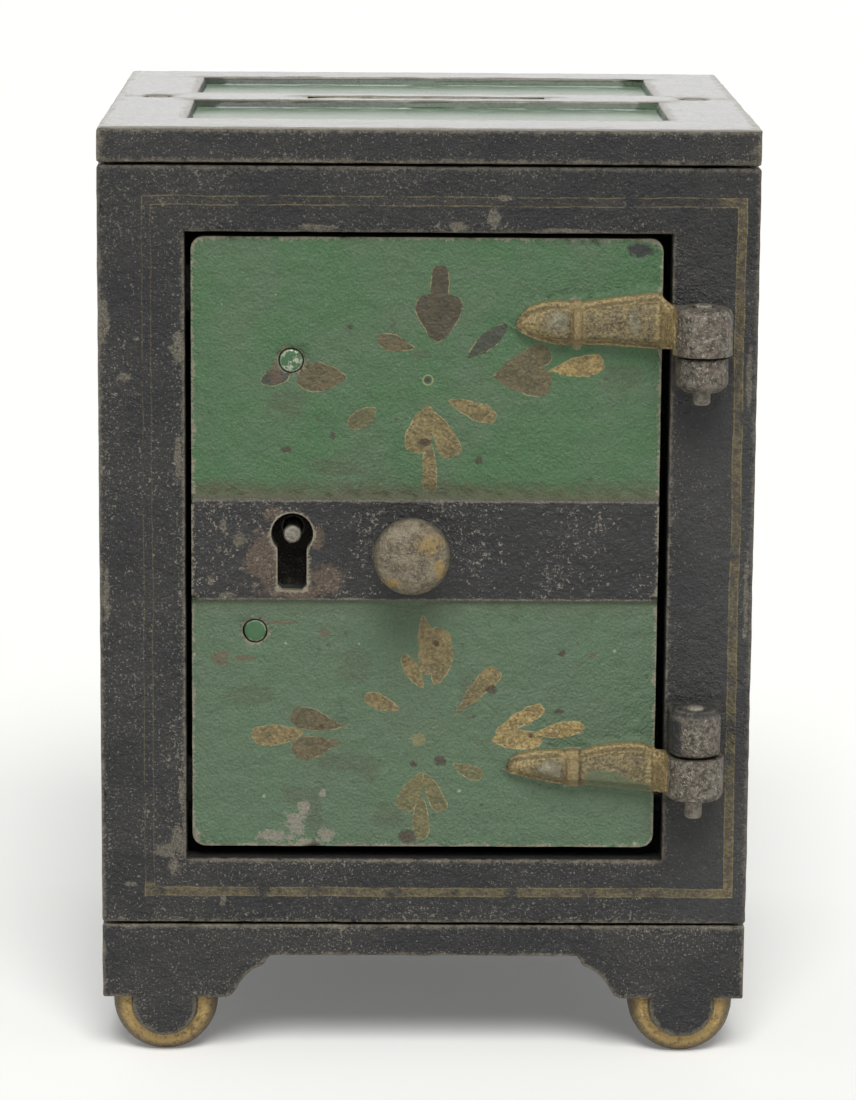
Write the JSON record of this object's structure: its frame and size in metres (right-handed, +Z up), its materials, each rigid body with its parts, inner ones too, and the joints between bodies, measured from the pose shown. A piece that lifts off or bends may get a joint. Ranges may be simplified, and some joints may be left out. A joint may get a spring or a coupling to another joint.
{
  "type": "toy safe coin bank",
  "caption": "Box-shaped cast-iron toy safe with a hinged key-lock door, round pull, strap hinges, half-round feet and a coin slot between recessed panels on top.",
  "frame": {"origin": "centre of the bounding box in plan, on the ground under the feet", "axes": "+Z up; +Y from the door towards the back wall; +X to the right as seen when facing the door, which is the hinge side"},
  "size_m": [0.082, 0.086, 0.119],
  "materials": {
    "black_iron": "worn semi-gloss black paint on sand-cast iron, with thin gilt lines",
    "green_iron": "worn satin green paint on cast iron, with gilt leaf sprays",
    "bare_iron": "paint worn away to dull, pitted iron",
    "lock_steel": "plain handled steel, slightly tarnished"
  },
  "bodies": {
    "case": {"base_casting": "black_iron", "top_casting": "black_iron", "front_frame": "black_iron", "left_wall": "black_iron", "right_wall": "black_iron", "back_wall": "black_iron", "tie_rod_left": "bare_iron", "tie_rod_right": "bare_iron", "hinge_pin_upper": "bare_iron", "hinge_pin_lower": "bare_iron"},
    "door": {"door": "green_iron", "knob": "bare_iron", "lock_bridge": "bare_iron", "lock_rivet_upper": "green_iron", "lock_rivet_lower": "green_iron", "key_post": "lock_steel", "bolt_guide_stud": "lock_steel", "bolt_spring": "lock_steel"},
    "lock_bolt": {"lock_bolt": "lock_steel"}
  },
  "joints": [
    {"name": "door_hinge", "type": "hinge", "parent": "case", "child": "door", "pos_m": [0.0338, -0.039, 0.0664], "axis": [0, 0, 1], "range_deg": [0, 180]},
    {"name": "bolt_throw", "type": "slide", "parent": "door", "child": "lock_bolt", "axis": [-1, 0, 0], "range_m": [0, 0.0045]}
  ]
}
